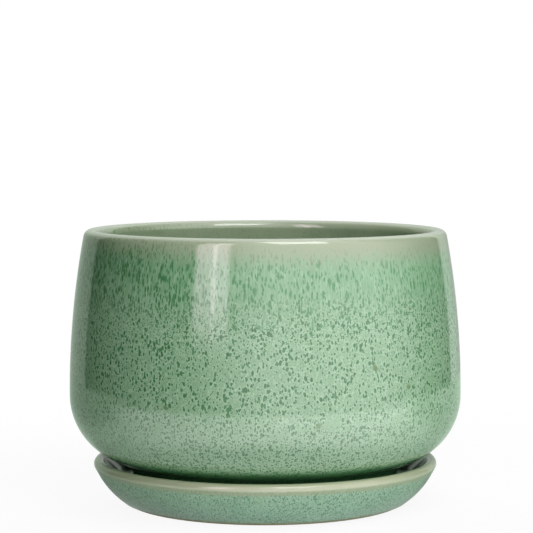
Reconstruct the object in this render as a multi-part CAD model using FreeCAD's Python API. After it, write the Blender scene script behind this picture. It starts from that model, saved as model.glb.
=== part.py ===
# A glazed stoneware flower pot that stands loose in its own saucer.
# The pieces are the pot, the saucer, the mesh disc over the pot's drain hole and the pads under the saucer.
# Millimetres, +Z up. The origin is on the pot's axis, on the surface that the saucer's pads stand on.

import FreeCAD, Part
import math
import os

# Pot
BELLY_RADIUS = 103.0
BELLY_CURVE_RADIUS = 35.8    # the curve from the belly in to the flat underside
POT_HEIGHT = 135.2           # from the foot to the top of the lip
POT_WALL = 8.0
MOUTH_INSET = 7.6            # how far the wall draws in from the belly to the lip
POT_FOOT_OUTSET = 2.8        # from the edge of the flat underside out to the foot's outside
POT_FOOT_WIDTH = 9.0
POT_FOOT_FILLET = 3.0
POT_FOOT_ROUND = 1.2
DRAIN_RADIUS = 9.0
DRAIN_ROUND = 1.2
NOTCH_COUNT = 3
NOTCH_WIDTH = 14.0
NOTCH_HEIGHT = 3.5

# Saucer
FOOT_TO_SAUCER_GAP = 2.0     # flat floor left free round the pot's foot
SAUCER_TO_POT_GAP = 4.6      # free height between the saucer's rim and the pot above it
SAUCER_DEPTH = 14.7          # from the floor to the top of the rim
SAUCER_FLOOR = 7.0
SAUCER_WALL = 5.6
SAUCER_WALL_LEAN = 29.0      # degrees from the vertical
SAUCER_CORNER_ROUND = 10.0
SAUCER_BEND_HEIGHT = 6.0     # from the foot up to where the outside's two slopes would meet
SAUCER_BEND_RUN = 9.5        # from the foot's edge out to the same place
SAUCER_FOOT_WIDTH = 9.0
SAUCER_FOOT_ROUND = 2.0
SAUCER_RECESS_DEPTH = 1.5
SAUCER_RECESS_ROUND = 0.7

# Rubber pads under the saucer
PAD_COUNT = 4
PAD_RADIUS = 8.0
PAD_EDGE_ROUND = 0.5
PAD_PROUD = 1.0              # how far a pad stands out below the saucer's foot
PAD_TO_FOOT_GAP = 6.0        # free width between a pad and the inside of the saucer's foot
PAD_FIRST_ANGLE = 45.0       # degrees from +X

# Mesh disc over the drain hole
SCREEN_OVERLAP = 17.0        # how far the disc reaches past the drain hole
SCREEN_THICKNESS = 1.2
SCREEN_BORDER = 1.6
SCREEN_GAP = 2.2
SCREEN_STRAND = 1.2

# Two curves of a profile that meet closer than this get no straight edge between them
SHORTEST_EDGE = 0.001

# Radii of the pot
underside_radius = BELLY_RADIUS - BELLY_CURVE_RADIUS
pot_foot_radius = underside_radius + POT_FOOT_OUTSET
pot_foot_inner_radius = pot_foot_radius - POT_FOOT_WIDTH
lip_radius = BELLY_RADIUS - POT_WALL / 2 - MOUTH_INSET
screen_radius = DRAIN_RADIUS + SCREEN_OVERLAP

# The saucer from the ground up, with a flat floor that takes the pot's foot
saucer_lean = math.radians(SAUCER_WALL_LEAN)
saucer_foot_z = PAD_PROUD
recess_z = saucer_foot_z + SAUCER_RECESS_DEPTH
saucer_floor_z = recess_z + SAUCER_FLOOR
saucer_rim_z = saucer_floor_z + SAUCER_DEPTH
saucer_lip_z = saucer_rim_z - SAUCER_WALL / 2
saucer_flat_radius = pot_foot_radius + FOOT_TO_SAUCER_GAP
saucer_corner_radius = saucer_flat_radius + SAUCER_CORNER_ROUND * math.tan(math.pi / 4 - saucer_lean / 2)
lip_half_width = SAUCER_WALL / 2 * math.cos(saucer_lean)
lip_half_drop = SAUCER_WALL / 2 * math.sin(saucer_lean)
saucer_inner_top_z = saucer_lip_z + lip_half_drop
saucer_inner_top_radius = saucer_corner_radius + (saucer_inner_top_z - saucer_floor_z) * math.tan(saucer_lean)
saucer_lip_radius = saucer_inner_top_radius + lip_half_width
saucer_outer_top_z = saucer_lip_z - lip_half_drop
saucer_outer_top_radius = saucer_lip_radius + lip_half_width
saucer_bend_z = saucer_foot_z + SAUCER_BEND_HEIGHT
saucer_bend_radius = saucer_outer_top_radius - (saucer_outer_top_z - saucer_bend_z) * math.tan(saucer_lean)
saucer_foot_radius = saucer_bend_radius - SAUCER_BEND_RUN
recess_radius = saucer_foot_radius - SAUCER_FOOT_WIDTH
pad_circle_radius = recess_radius - PAD_TO_FOOT_GAP - PAD_RADIUS

# Heights of the pot, which stands on the saucer's floor and clears its rim
rim_past_underside = saucer_lip_radius - underside_radius
belly_z = saucer_rim_z + SAUCER_TO_POT_GAP + math.sqrt(BELLY_CURVE_RADIUS ** 2 - rim_past_underside ** 2)
underside_z = belly_z - BELLY_CURVE_RADIUS
pot_floor_z = underside_z + POT_WALL
lip_z = saucer_floor_z + POT_HEIGHT - POT_WALL / 2


def point(r, z):
    """A point of a profile, in the plane that is turned about the axis."""
    return FreeCAD.Vector(r, 0, z)


def line(start, end):
    return Part.LineSegment(start, end).toShape()


def arc(centre, radius, start_angle, end_angle):
    """A circular edge of a profile, from one angle to another in degrees above the outward direction."""
    on_arc = []
    for angle in (start_angle, (start_angle + end_angle) / 2, end_angle):
        turn = math.radians(angle)
        on_arc.append(centre + point(radius * math.cos(turn), radius * math.sin(turn)))
    return Part.Arc(*on_arc).toShape()


def rounded_run(corners):
    """Edges from corner to corner. Each corner is (r, z, rounding radius), and the two ends stay sharp."""
    edges = []
    reached = point(*corners[0][:2])
    for before, here, after in zip(corners, corners[1:], corners[2:]):
        corner = point(*here[:2])
        radius = here[2]
        back = (point(*before[:2]) - corner).normalize()
        on = (point(*after[:2]) - corner).normalize()
        half_angle = back.getAngle(on) / 2
        middle = (back + on).normalize()
        leave = corner + back * (radius / math.tan(half_angle))
        join = corner + on * (radius / math.tan(half_angle))
        crest = corner + middle * (radius / math.sin(half_angle) - radius)
        if reached.distanceToPoint(leave) > SHORTEST_EDGE:
            edges.append(line(reached, leave))
        edges.append(Part.Arc(leave, crest, join).toShape())
        reached = join
    edges.append(line(reached, point(*corners[-1][:2])))
    return edges


def turned(edges):
    """The solid that a closed profile makes when it is turned once about the axis."""
    profile = Part.Face(Part.Wire(edges))
    return profile.revolve(FreeCAD.Vector(0, 0, 0), FreeCAD.Vector(0, 0, 1), 360)


def around(count, first_angle=0.0):
    """Equally spaced angles in degrees."""
    return [first_angle + 360.0 * i / count for i in range(count)]


def pot_body():
    """The pot: one wall of even thickness from the drain hole round the belly to the lip, on a notched foot."""
    belly_centre = point(underside_radius, belly_z)
    upper_rise = lip_z - belly_z
    upper_radius = (MOUTH_INSET ** 2 + upper_rise ** 2) / (2 * MOUTH_INSET)
    upper_centre = point(BELLY_RADIUS - POT_WALL / 2 - upper_radius, belly_z)
    lip_angle = math.degrees(math.asin(upper_rise / upper_radius))
    fillet_out = POT_FOOT_OUTSET + POT_FOOT_FILLET
    fillet_down = math.sqrt((BELLY_CURVE_RADIUS + POT_FOOT_FILLET) ** 2 - fillet_out ** 2)
    fillet_centre = belly_centre + point(fillet_out, -fillet_down)
    fillet_angle = math.degrees(math.atan2(-fillet_down, fillet_out))
    inside = [
        arc(belly_centre, BELLY_CURVE_RADIUS - POT_WALL, -90, 0),
        arc(upper_centre, upper_radius - POT_WALL / 2, 0, lip_angle),
    ]
    lip = [arc(point(lip_radius, lip_z), POT_WALL / 2, lip_angle + 180, lip_angle)]
    outside = [
        arc(upper_centre, upper_radius + POT_WALL / 2, lip_angle, 0),
        arc(belly_centre, BELLY_CURVE_RADIUS, 0, fillet_angle),
        arc(fillet_centre, POT_FOOT_FILLET, fillet_angle + 180, 180),
    ]
    foot_and_drain = rounded_run([
        (pot_foot_radius, fillet_centre.z, 0),
        (pot_foot_radius, saucer_floor_z, POT_FOOT_ROUND),
        (pot_foot_inner_radius, saucer_floor_z, POT_FOOT_ROUND),
        (pot_foot_inner_radius, underside_z, POT_FOOT_FILLET),
        (DRAIN_RADIUS, underside_z, DRAIN_ROUND),
        (DRAIN_RADIUS, pot_floor_z, DRAIN_ROUND),
        (underside_radius, pot_floor_z, 0),
    ])
    return turned(inside + lip + outside + foot_and_drain).cut(foot_notches())


def foot_notches():
    """Arched gaps through the pot's foot, where water runs out from under the drain hole."""
    arch_radius = (NOTCH_WIDTH ** 2 / 4 + NOTCH_HEIGHT ** 2) / (2 * NOTCH_HEIGHT)
    start = FreeCAD.Vector(0, 0, saucer_floor_z + NOTCH_HEIGHT - arch_radius)
    first = Part.makeCylinder(arch_radius, BELLY_RADIUS, start, FreeCAD.Vector(1, 0, 0))
    notches = []
    for angle in around(NOTCH_COUNT):
        notch = first.copy()
        notch.rotate(FreeCAD.Vector(0, 0, 0), FreeCAD.Vector(0, 0, 1), angle)
        notches.append(notch)
    return notches


def saucer():
    """The saucer: a dish with a leaning wall and a round lip, on a ring foot round a shallow recess."""
    lower_slope = math.atan2(SAUCER_BEND_HEIGHT, SAUCER_BEND_RUN)
    bend_turn = math.pi / 2 - saucer_lean - lower_slope
    lower_run = math.hypot(SAUCER_BEND_RUN, SAUCER_BEND_HEIGHT) - SAUCER_FOOT_ROUND * math.tan(lower_slope / 2)
    upper_run = (saucer_outer_top_z - saucer_bend_z) / math.cos(saucer_lean)
    bend_rounding = min(lower_run, upper_run) / math.tan(bend_turn / 2)
    lip_centre = point(saucer_lip_radius, saucer_lip_z)
    lip = [arc(lip_centre, SAUCER_WALL / 2, 180 - SAUCER_WALL_LEAN, -SAUCER_WALL_LEAN)]
    outside_and_foot = rounded_run([
        (saucer_outer_top_radius, saucer_outer_top_z, 0),
        (saucer_bend_radius, saucer_bend_z, bend_rounding),
        (saucer_foot_radius, saucer_foot_z, SAUCER_FOOT_ROUND),
        (recess_radius, saucer_foot_z, SAUCER_RECESS_ROUND),
        (recess_radius, recess_z, SAUCER_RECESS_ROUND),
        (0, recess_z, 0),
    ])
    axis = [line(point(0, recess_z), point(0, saucer_floor_z))]
    inside = rounded_run([
        (0, saucer_floor_z, 0),
        (saucer_corner_radius, saucer_floor_z, SAUCER_CORNER_ROUND),
        (saucer_inner_top_radius, saucer_inner_top_z, 0),
    ])
    return turned(lip + outside_and_foot + axis + inside)


def drain_screen():
    """The mesh disc that lies over the drain hole: square gaps in a plain border, cut through one flat face."""
    pitch = SCREEN_GAP + SCREEN_STRAND
    reach = int(screen_radius / pitch)
    half = SCREEN_GAP / 2
    gaps = []
    for column in range(-reach, reach + 1):
        for row in range(-reach, reach + 1):
            x = column * pitch
            y = row * pitch
            if math.hypot(abs(x) + half, abs(y) + half) > screen_radius - SCREEN_BORDER:
                continue
            corners = [(x - half, y - half), (x - half, y + half), (x + half, y + half), (x + half, y - half)]
            gaps.append(Part.makePolygon([FreeCAD.Vector(*c, pot_floor_z) for c in corners + corners[:1]]))
    edge = Part.Wire(Part.makeCircle(screen_radius, FreeCAD.Vector(0, 0, pot_floor_z)))
    print("drain screen gaps:", len(gaps))
    return Part.Face([edge] + gaps).extrude(FreeCAD.Vector(0, 0, SCREEN_THICKNESS))


def saucer_pad(angle):
    """A pad stuck in the saucer's recess, with a softened lower edge."""
    pad = Part.makeCylinder(PAD_RADIUS, recess_z, FreeCAD.Vector(pad_circle_radius, 0, 0))
    lower_edge = [edge for edge in pad.Edges if edge.BoundBox.ZMax < recess_z / 2]
    pad = pad.makeFillet(PAD_EDGE_ROUND, lower_edge)
    pad.rotate(FreeCAD.Vector(0, 0, 0), FreeCAD.Vector(0, 0, 1), angle)
    return pad


def pieces():
    """Every piece by its name."""
    made = {"pot_body": pot_body(), "saucer": saucer(), "drain_screen": drain_screen()}
    for number, angle in enumerate(around(PAD_COUNT, PAD_FIRST_ANGLE), 1):
        made[f"saucer_pad_{number}"] = saucer_pad(angle)
    return made


def main():
    os.makedirs("parts", exist_ok=True)
    for name, shape in pieces().items():
        shape.exportStep(f"parts/{name}.step")
        box = shape.optimalBoundingBox()
        size = f"{box.XLength:.1f} x {box.YLength:.1f} x {box.ZLength:.1f} mm, z {box.ZMin:.1f} to {box.ZMax:.1f}"
        print(f"{name}: {len(shape.Solids)} solid, valid {shape.isValid()}, {shape.Volume:.0f} mm3, {size}")


if __name__ == "__main__":
    main()
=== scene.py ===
# %% [markdown]
# # A speckled green flower pot on its saucer
# The solid model of the pot is loaded first, as a fixed frame in metres with +Z up.
# Everything made below is a finer version of one of its pieces, in the same place and at the same size.
# The box round each of its pieces is read, and the sizes below are taken from it.

# %% Load the frame
import math

import bpy
from mathutils import Matrix, Vector


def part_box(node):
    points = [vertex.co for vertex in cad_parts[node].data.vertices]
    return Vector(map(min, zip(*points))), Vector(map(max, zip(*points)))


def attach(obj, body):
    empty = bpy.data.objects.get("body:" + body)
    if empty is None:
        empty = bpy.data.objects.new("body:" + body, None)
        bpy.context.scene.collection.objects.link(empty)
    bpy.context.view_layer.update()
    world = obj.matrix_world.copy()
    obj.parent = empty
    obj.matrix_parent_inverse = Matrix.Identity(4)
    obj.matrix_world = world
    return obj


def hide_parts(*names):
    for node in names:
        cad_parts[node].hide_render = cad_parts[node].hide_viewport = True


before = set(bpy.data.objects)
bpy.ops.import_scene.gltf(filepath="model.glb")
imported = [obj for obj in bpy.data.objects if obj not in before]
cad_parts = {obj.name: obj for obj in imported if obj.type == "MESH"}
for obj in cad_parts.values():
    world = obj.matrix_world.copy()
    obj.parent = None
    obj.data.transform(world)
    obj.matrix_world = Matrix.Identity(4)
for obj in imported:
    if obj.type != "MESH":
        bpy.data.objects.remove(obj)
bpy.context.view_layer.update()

MM = 0.001
pot_low, pot_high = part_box("pot_body")
saucer_low, saucer_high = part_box("saucer")
screen_low, screen_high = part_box("drain_screen")
print("nodes:", sorted(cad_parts))

# %% [markdown]
# ## The camera
# The photograph was taken from about a metre away, slightly above the rim, with a long lens.
# A long lens keeps the sides of the pot almost parallel, so the distance matters more than it seems to.
# The focal length is written in pixels, as it was measured.
# It is then turned into the lens length that Blender asks for.

# %% Camera at the photograph's place
IMAGE_PIXELS = 533
FOCAL_PIXELS = 2118.6
AXIS_PIXELS_LEFT = 1.3       # how far left of the image's middle the pot's axis stands
CAMERA_DISTANCE = 1.1134
CAMERA_HEIGHT = 0.2042
CAMERA_PITCH = math.radians(4.08)

camera_data = bpy.data.cameras.new("photo_camera")
camera = bpy.data.objects.new("photo_camera", camera_data)
bpy.context.scene.collection.objects.link(camera)
camera_data.lens = FOCAL_PIXELS * camera_data.sensor_width / IMAGE_PIXELS
camera.location = (0, -CAMERA_DISTANCE, CAMERA_HEIGHT)
camera.rotation_euler = (math.pi / 2 - CAMERA_PITCH, 0, -math.atan(AXIS_PIXELS_LEFT / FOCAL_PIXELS))
bpy.context.scene.camera = camera
bpy.context.scene.view_settings.view_transform = "Standard"
print(f"lens {camera_data.lens:.1f} mm")

# %% [markdown]
# ## Small helpers for nodes
# Materials, the world and the table are all built from shader nodes.
# One helper adds a node with its settings and inputs. The others are the few sums that come back everywhere.
# Colours are written as they look on a screen, from 0 to 255.
# The first helper turns them into the linear light that Blender uses.

# %% Helpers for nodes and colours
def screen_colour(red, green, blue):
    """A colour as seen on a screen, in linear light with full alpha."""
    linear = []
    for channel in (red, green, blue):
        share = channel / 255
        linear.append(share / 12.92 if share <= 0.04045 else ((share + 0.055) / 1.055) ** 2.4)
    return (*linear, 1.0)


def add_node(tree, kind, inputs=None, **settings):
    """Adds a node. An input, named or numbered, is either a value or the output of another node."""
    node = tree.nodes.new(kind)
    for name, value in settings.items():
        setattr(node, name, value)
    for socket, value in (inputs or {}).items():
        if isinstance(value, bpy.types.NodeSocket):
            tree.links.new(value, node.inputs[socket])
        else:
            node.inputs[socket].default_value = value
    return node


def sum_of(tree, operation, *values):
    """The result of a Math node."""
    return add_node(tree, "ShaderNodeMath", dict(enumerate(values)), operation=operation).outputs[0]


def product_of(tree, first, second):
    """The two values multiplied."""
    return sum_of(tree, "MULTIPLY", first, second)


def vector_sum(tree, operation, inputs):
    """The vector that a Vector Math node puts out."""
    return add_node(tree, "ShaderNodeVectorMath", inputs, operation=operation).outputs[0]


def blend_colours(tree, share, first, second):
    """The first colour where share is 0, the second where it is 1."""
    inputs = {"Factor": share, 6: first, 7: second}
    return add_node(tree, "ShaderNodeMix", inputs, data_type="RGBA").outputs[2]


def blend_values(tree, share, first, second):
    """The first number where share is 0, the second where it is 1."""
    return add_node(tree, "ShaderNodeMix", {"Factor": share, "A": first, "B": second}).outputs[0]


def soft_step(tree, value, low, high):
    """0 below low, 1 above high, and smooth between them. It runs the other way if low is above high."""
    inputs = {"Value": value, "From Min": low, "From Max": high}
    return add_node(tree, "ShaderNodeMapRange", inputs, interpolation_type="SMOOTHSTEP").outputs["Result"]


def between(tree, value, low, high, edge):
    """1 from low to high and 0 outside, with edges of twice the given width."""
    rise = soft_step(tree, value, low - edge, low + edge)
    fall = soft_step(tree, value, high + edge, high - edge)
    return product_of(tree, rise, fall)


def ramp(tree, value, stops):
    """Colours or greys along a value from 0 to 1. Each stop is (position, colour or grey)."""
    node = add_node(tree, "ShaderNodeValToRGB", {"Fac": value})
    points = node.color_ramp.elements
    while len(points) > 1:
        points.remove(points[-1])
    points[0].position = stops[0][0]
    for position, shade in stops[1:]:
        points.new(position)
    for point, (position, shade) in zip(points, stops):
        point.color = shade if isinstance(shade, tuple) else (shade, shade, shade, 1.0)
    return node.outputs["Color"]


WHITE = (1.0, 1.0, 1.0, 1.0)
print("a grey of 128 on the screen is", round(screen_colour(128, 128, 128)[0], 3), "in linear light")

# %% [markdown]
# ## The studio
# The glaze is a mirror, so what stands round the pot is as important as the lamps.
# The world shows it four things, and only to rays that leave a glossy surface:
# a pale wall behind, which is the strip along each side of the pot, brighter on the right,
# a tall tinted softbox in front on the left with a brighter line in it, which is the upright bright patch,
# a broad soft light in front on the right, which lays a thin sheen over that half,
# and a dim room for the rest, which keeps the colour of the glaze clean.
# The camera sees plain white instead, and matt surfaces get only a little dim green light from all round.
# Real panels could stand there too, but they would also throw light and shadows, so angles draw them here.
# Directions are measured from the camera's side, with positive angles to the right.

# %% World: what the glaze mirrors, and the white that the camera sees
WALL_START_LEFT = math.radians(129.5)
WALL_START_RIGHT = math.radians(138.5)
WALL_DIM = math.radians(165)
WALL_EDGE = math.radians(1.5)
WALL_SIDES_MEET = 0.1        # share of the way to either side over which the two halves blend
WALL_LEFT_SHADE = (0.47, 0.56, 0.47, 1.0)
WALL_RIGHT_SHADE = (0.80, 0.90, 0.82, 1.0)
WALL_MIDDLE_SHADE = (0.50, 0.54, 0.50, 1.0)
ROOM_SHADE = (0.03, 0.03, 0.03, 1.0)
FILL_SHADE = (0.022, 0.036, 0.023, 1.0)
BOX_FROM = math.radians(-43)
BOX_TO = math.radians(-22)
BOX_LINE = math.radians(-31)
BOX_LINE_HALF_WIDTH = math.radians(2.4)
BOX_LOW = math.radians(-1)   # the softbox is dim at its lower end
BOX_FULL = math.radians(12)
BOX_TOP = math.radians(48)
BOX_LIGHT = 4.1
BOX_LINE_LIGHT = 4.1
BOX_TINT = (1.0, 0.83, 0.91)
BROAD_FROM = math.radians(-20)
BROAD_TO = math.radians(88)
BROAD_EDGE = math.radians(26)
BROAD_LIGHT = 1.95


def build_world():
    world = bpy.data.worlds.new("white_studio")
    bpy.context.scene.world = world
    world.use_nodes = True
    tree = world.node_tree
    tree.nodes.clear()
    path = add_node(tree, "ShaderNodeLightPath").outputs
    direction = add_node(tree, "ShaderNodeTexCoord").outputs["Generated"]
    axes = add_node(tree, "ShaderNodeSeparateXYZ", {0: direction}).outputs
    azimuth = sum_of(tree, "ARCTAN2", axes["X"], product_of(tree, axes["Y"], -1.0))
    elevation = sum_of(tree, "ARCSINE", axes["Z"])
    aside = sum_of(tree, "ABSOLUTE", azimuth)

    right = soft_step(tree, axes["X"], -WALL_SIDES_MEET, WALL_SIDES_MEET)
    wall_start = blend_values(tree, right, WALL_START_LEFT, WALL_START_RIGHT)
    wall = soft_step(tree, sum_of(tree, "SUBTRACT", aside, wall_start), -WALL_EDGE, WALL_EDGE)
    towards_middle = soft_step(tree, aside, WALL_START_RIGHT, WALL_DIM)
    right_shade = blend_colours(tree, towards_middle, WALL_RIGHT_SHADE, WALL_MIDDLE_SHADE)
    wall_shade = blend_colours(tree, right, WALL_LEFT_SHADE, right_shade)
    room = blend_colours(tree, wall, ROOM_SHADE, wall_shade)

    across = between(tree, azimuth, BOX_FROM, BOX_TO, WALL_EDGE)
    bottom = soft_step(tree, elevation, BOX_LOW, BOX_FULL)
    top = soft_step(tree, elevation, BOX_TOP + WALL_EDGE, BOX_TOP - WALL_EDGE)
    off_line = sum_of(tree, "ABSOLUTE", sum_of(tree, "SUBTRACT", azimuth, BOX_LINE))
    line = product_of(tree, soft_step(tree, off_line, BOX_LINE_HALF_WIDTH, 0.0), BOX_LINE_LIGHT)
    box = product_of(tree, across, product_of(tree, bottom, top))
    box = product_of(tree, box, sum_of(tree, "ADD", line, BOX_LIGHT))
    broad = product_of(tree, between(tree, azimuth, BROAD_FROM, BROAD_TO, BROAD_EDGE), BROAD_LIGHT)
    mirrored = vector_sum(tree, "ADD", {0: room, 1: broad})
    mirrored = vector_sum(tree, "MULTIPLY_ADD", {0: box, 1: BOX_TINT, 2: mirrored})

    lit = blend_colours(tree, path["Is Glossy Ray"], FILL_SHADE, mirrored)
    seen = sum_of(tree, "MAXIMUM", path["Is Camera Ray"], path["Is Transmission Ray"])
    background = add_node(tree, "ShaderNodeBackground", {"Color": blend_colours(tree, seen, lit, WHITE)})
    add_node(tree, "ShaderNodeOutputWorld", {0: background.outputs[0]})
    return world


world = build_world()
print("world nodes:", len(world.node_tree.nodes))

# %% [markdown]
# ## The table top
# The table is pale, plain and round, and the lower belly mirrors it.
# The camera sees it white, but near the pot a share of the real shading stays, so the shadow is there.
# In the glaze the table is brightest in front, like a lit white card, most of all on the right.
# At the sides and behind it is dimmer and greenish, because there the pot keeps the light off.
# That sheen fades close to the saucer, which shades the table, and where the table is seen steeply,
# so that the pot keeps its colour when it is looked at from above.
# One material does all of it, because Light Path tells which kind of ray looks at the table.

# %% What the table looks like
TABLE_SHADE = screen_colour(240, 240, 240)
TABLE_BOUNCE_SHADE = screen_colour(106, 140, 110)        # what it throws on the pot, on the left and behind
TABLE_BOUNCE_FRONT_SHADE = screen_colour(238, 242, 238)  # and in front on the right
TABLE_RIGHT = (-0.3, 0.15)          # metres across over which the left half turns into the right one
TABLE_FRONT = (0.06, -0.14)         # metres along over which the back turns into the front
TABLE_BEFORE_POT = (0.04, -0.15)    # the same for what the glaze mirrors
TABLE_GLOW = 0.92                   # share of plain white close to the pot
TABLE_GLOW_GROWS = (0.16, 0.45)     # metres from the axis over which that share grows to 1
MIRRORED_FRONT = (1.6, 3.4)         # how bright the table in front is in the glaze, left and right
MIRRORED_BACK = (0.55, 0.8)         # and at the sides and behind
MIRRORED_BACK_TINT = (0.80, 1.0, 0.82, 1.0)
MIRRORED_FAR = (0.03, 1.95)         # and far off in front, where the table is no brighter than the room
MIRRORED_FAR_EDGE = (0.52, 0.56)
MIRRORED_LEAST = 0.4                # what is left of it where it is shaded or seen steeply
SHADED_EDGE = (0.095, 0.15)         # metres from the axis at which the saucer's shade ends
SHEEN_EDGE = (0.08, 0.32)           # from seen steeply to seen at a slant


def build_table_white():
    material = bpy.data.materials.new("white_table")
    material.use_nodes = True
    tree = material.node_tree
    tree.nodes.clear()
    path = add_node(tree, "ShaderNodeLightPath").outputs
    place = add_node(tree, "ShaderNodeTexCoord").outputs["Object"]
    axes = add_node(tree, "ShaderNodeSeparateXYZ", {0: place}).outputs
    away = add_node(tree, "ShaderNodeVectorMath", {0: place}, operation="LENGTH").outputs["Value"]
    right = soft_step(tree, axes["X"], *TABLE_RIGHT)
    front = soft_step(tree, axes["Y"], *TABLE_FRONT)
    before_pot = soft_step(tree, axes["Y"], *TABLE_BEFORE_POT)

    lit_share = product_of(tree, right, front)
    bounce = blend_colours(tree, lit_share, TABLE_BOUNCE_SHADE, TABLE_BOUNCE_FRONT_SHADE)
    shade = blend_colours(tree, path["Is Diffuse Ray"], TABLE_SHADE, bounce)
    matt = add_node(tree, "ShaderNodeBsdfDiffuse", {"Color": shade}).outputs[0]

    facing = add_node(tree, "ShaderNodeLayerWeight", {"Blend": 0.5}).outputs["Facing"]
    clear = soft_step(tree, away, *SHADED_EDGE)
    slanted = soft_step(tree, facing, *SHEEN_EDGE)
    sheen = blend_values(tree, sum_of(tree, "MINIMUM", clear, slanted), MIRRORED_LEAST, 1.0)
    back = blend_values(tree, right, *MIRRORED_BACK)
    mirrored = blend_values(tree, before_pot, back, blend_values(tree, right, *MIRRORED_FRONT))
    mirrored = product_of(tree, mirrored, sheen)
    beyond = product_of(tree, soft_step(tree, away, *MIRRORED_FAR_EDGE), front)
    mirrored = blend_values(tree, beyond, mirrored, blend_values(tree, right, *MIRRORED_FAR))
    strength = blend_values(tree, path["Is Glossy Ray"], 1.0, mirrored)
    tinted = sum_of(tree, "SUBTRACT", path["Is Glossy Ray"], before_pot)
    glow_colour = blend_colours(tree, tinted, WHITE, MIRRORED_BACK_TINT)
    glow = add_node(tree, "ShaderNodeEmission", {"Color": glow_colour, "Strength": strength}).outputs[0]

    far = soft_step(tree, away, *TABLE_GLOW_GROWS)
    glow_share = sum_of(tree, "MULTIPLY_ADD", far, 1 - TABLE_GLOW, TABLE_GLOW)
    seen = sum_of(tree, "MAXIMUM", path["Is Camera Ray"], path["Is Glossy Ray"])
    seen = sum_of(tree, "MAXIMUM", seen, path["Is Transmission Ray"])
    surface = add_node(tree, "ShaderNodeMixShader", {0: product_of(tree, seen, glow_share), 1: matt, 2: glow})
    add_node(tree, "ShaderNodeOutputMaterial", {"Surface": surface.outputs[0]})
    return material


table_white = build_table_white()
print("table nodes:", len(table_white.node_tree.nodes))

# %% Table top
TABLE_RADIUS = 0.64
TABLE_SIDES = 128

bpy.ops.object.select_all(action="DESELECT")
bpy.ops.mesh.primitive_circle_add(vertices=TABLE_SIDES, radius=TABLE_RADIUS, fill_type="NGON")
table = bpy.context.object
table.name = "table_top"
table.data.materials.append(table_white)
print("table across:", table.dimensions.x)

# %% [markdown]
# ## Lamps
# The main softbox hangs in front, high and to the right. It lights the pot from above, and it is the short
# bright line on the rim and on the saucer's lip. A lower light in front fills the wall.
# One fill on the right and one behind on the left stand for light that comes back from the room.
# A large softbox lights the back, which the photograph doesn't show.
# All are area lamps, because a shadow is only as soft as its lamp is large.
# The glaze mirrors only the main softbox. All its other reflections are in the world and the table.

# %% Softboxes
LAMP_TARGET = Vector((0, 0, 0.08))


def softbox(name, azimuth, elevation, distance, width, height, power, mirrored=False, tint=(1.0, 1.0, 1.0)):
    """A rectangular lamp aimed at the pot. Azimuth 0 is the camera's side, and positive is to the right."""
    turn = math.radians(azimuth)
    rise = math.radians(elevation)
    away = Vector((math.sin(turn) * math.cos(rise), -math.cos(turn) * math.cos(rise), math.sin(rise)))
    data = bpy.data.lights.new(name, "AREA")
    data.shape = "RECTANGLE"
    data.size = width
    data.size_y = height
    data.energy = power
    data.color = tint
    lamp = bpy.data.objects.new(name, data)
    bpy.context.scene.collection.objects.link(lamp)
    lamp.location = LAMP_TARGET + away * distance
    lamp.rotation_euler = away.to_track_quat("Z", "Y").to_euler()
    lamp.visible_camera = False
    lamp.visible_glossy = mirrored


softbox("top_softbox", azimuth=27, elevation=57, distance=0.95, width=0.44, height=0.48, power=4.2,
        mirrored=True)
softbox("front_light", azimuth=9, elevation=19, distance=0.9, width=0.5, height=0.6, power=2.75)
softbox("right_fill", azimuth=100, elevation=12, distance=1.0, width=0.4, height=0.5, power=1.4,
        tint=(0.80, 1.0, 0.82))
softbox("left_back_fill", azimuth=-150, elevation=15, distance=1.0, width=0.4, height=0.5, power=1.6)
softbox("back_softbox", azimuth=185, elevation=40, distance=1.3, width=1.4, height=1.0, power=11.0)
print("lamps:", [lamp.name for lamp in bpy.data.lights])

# %% [markdown]
# ## Turning an outline
# A pot is made on a wheel, so the mesh is made the same way: half of its cut outline is drawn as a line of
# points beside the axis, and Spin turns it once round. Arcs are drawn with evenly spaced points, close enough
# that the mirror-like glaze shows no facets.

# %% Helpers that draw an outline
OUTLINE_STEP = 1.6 * MM      # longest distance between two points of an arc
ARC_STEP = 9.0               # and the widest angle between them, in degrees
FLAT_STEP = 8.0 * MM         # longest distance between two points of a flat floor


def arc(centre, radius, start, end):
    """Points on an arc about centre (r, z), from one angle to another, in degrees up from outward."""
    sweep = abs(end - start)
    count = max(math.ceil(math.radians(sweep) * radius / OUTLINE_STEP), math.ceil(sweep / ARC_STEP))
    angles = [math.radians(start + (end - start) * i / count) for i in range(count + 1)]
    return [(centre[0] + radius * math.cos(a), centre[1] + radius * math.sin(a)) for a in angles]


def rounded(before, corner, after, radius):
    """Points that round the corner between two straight runs."""
    at = Vector(corner)
    back = (Vector(before) - at).normalized()
    on = (Vector(after) - at).normalized()
    half_angle = back.angle(on) / 2
    centre = at + (back + on).normalized() * (radius / math.sin(half_angle))
    leave = at + back * (radius / math.tan(half_angle)) - centre
    turn = math.degrees(leave.angle_signed(at + on * (radius / math.tan(half_angle)) - centre))
    start = math.degrees(math.atan2(leave.y, leave.x))
    return arc(tuple(centre), radius, start, start - turn)


def straight(start, end):
    """Points from start to end, both included, close enough for a flat floor."""
    count = max(1, math.ceil((Vector(end) - Vector(start)).length / FLAT_STEP))
    return [tuple(Vector(start).lerp(Vector(end), i / count)) for i in range(count + 1)]


print("points on a quarter circle of 10 mm:", len(arc((0, 0), 10 * MM, 0, 90)))

# %% Helper that turns an outline
TURN_STEPS = 240
SAME_POINT = 1e-6


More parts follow.
